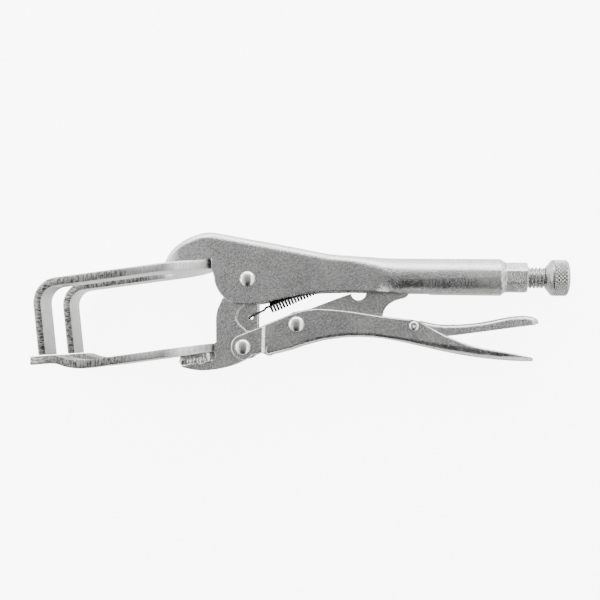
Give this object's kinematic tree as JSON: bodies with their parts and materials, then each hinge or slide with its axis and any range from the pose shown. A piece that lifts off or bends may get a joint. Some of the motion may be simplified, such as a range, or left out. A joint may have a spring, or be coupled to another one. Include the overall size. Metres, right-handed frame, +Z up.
{
  "type": "locking pliers",
  "caption": "Locking welding clamp pliers with bent U-shaped fork jaws, toggle link, release lever and a knurled adjusting screw.",
  "frame": {"origin": "middle of the underside of the overall box, with the tool lying on its side and the jaws closed", "axes": "+X from the jaws to the adjusting knob, +Y from the lower handle to the upper handle, +Z up through the thickness, along every pivot"},
  "size_m": [0.2328, 0.0626, 0.042],
  "materials": {
    "plated_sheet": "satin nickel or zinc plate over pressed sheet steel, fine mottled grain",
    "plated_bar": "satin plate over sheared flat bar, rough striated cut edges",
    "rivet": "bright plated domed head",
    "weld": "plated weld bead, lumpy and semi-bright",
    "screw": "plated, rolled thread and diamond knurl",
    "spring_wire": "dark drawn spring steel wire"
  },
  "bodies": {
    "upper_body": {"upper_handle": "plated_sheet", "upper_fork_jaw": "plated_bar", "upper_jaw_weld": "weld", "jaw_pivot_rivet": "rivet", "return_spring": "spring_wire"},
    "lower_jaw": {"lower_fork_jaw": "plated_bar", "jaw_plate_left": "plated_sheet", "jaw_plate_right": "plated_sheet", "lower_jaw_weld_left": "weld", "lower_jaw_weld_right": "weld", "handle_pivot_rivet": "rivet"},
    "lower_grip": {"lower_handle": "plated_sheet", "link_rivet": "rivet", "link_spacer_left": "screw", "link_spacer_right": "screw", "release_lever_rivet": "rivet"},
    "link": {"toggle_link": "plated_sheet"},
    "release": {"release_lever": "plated_sheet"},
    "screw_carrier": {"screw_nose": "screw"},
    "screw": {"adjusting_screw": "screw"}
  },
  "joints": [
    {"name": "jaw_swing", "type": "hinge", "parent": "upper_body", "child": "lower_jaw", "pos_m": [-0.02245, 0.01, 0.021], "axis": [0, 0, 1], "range_deg": [0, 22.01], "deforming": ["return_spring"]},
    {"name": "handle_swing", "type": "hinge", "parent": "lower_jaw", "child": "lower_grip", "pos_m": [-0.02395, -0.0203, 0.021], "axis": [0, 0, 1], "range_deg": [-66, 0]},
    {"name": "link_swing", "type": "hinge", "parent": "lower_grip", "child": "link", "pos_m": [0.00005, -0.0098, 0.021], "axis": [0, 0, 1], "range_deg": [0, 70.6]},
    {"name": "release_swing", "type": "hinge", "parent": "lower_grip", "child": "release", "pos_m": [0.05115, -0.0097, 0.021], "axis": [0, 0, 1], "range_deg": [-6, 0]},
    {"name": "screw_travel", "type": "slide", "parent": "upper_body", "child": "screw_carrier", "axis": [1, 0, 0], "range_m": [0, 0.0133]},
    {"name": "screw_turn", "type": "hinge", "parent": "screw_carrier", "child": "screw", "pos_m": [0.07755, 0.0121, 0.021], "axis": [1, 0, 0], "range_deg": [0, 2700]}
  ],
  "couplings": [
    {"joint": "jaw_swing", "follows": "handle_swing", "ratio": -0.33333},
    {"joint": "link_swing", "follows": "handle_swing", "ratio": -1.0682},
    {"joint": "screw_travel", "follows": "screw_turn", "m_per_rad": 0.00025465}
  ]
}
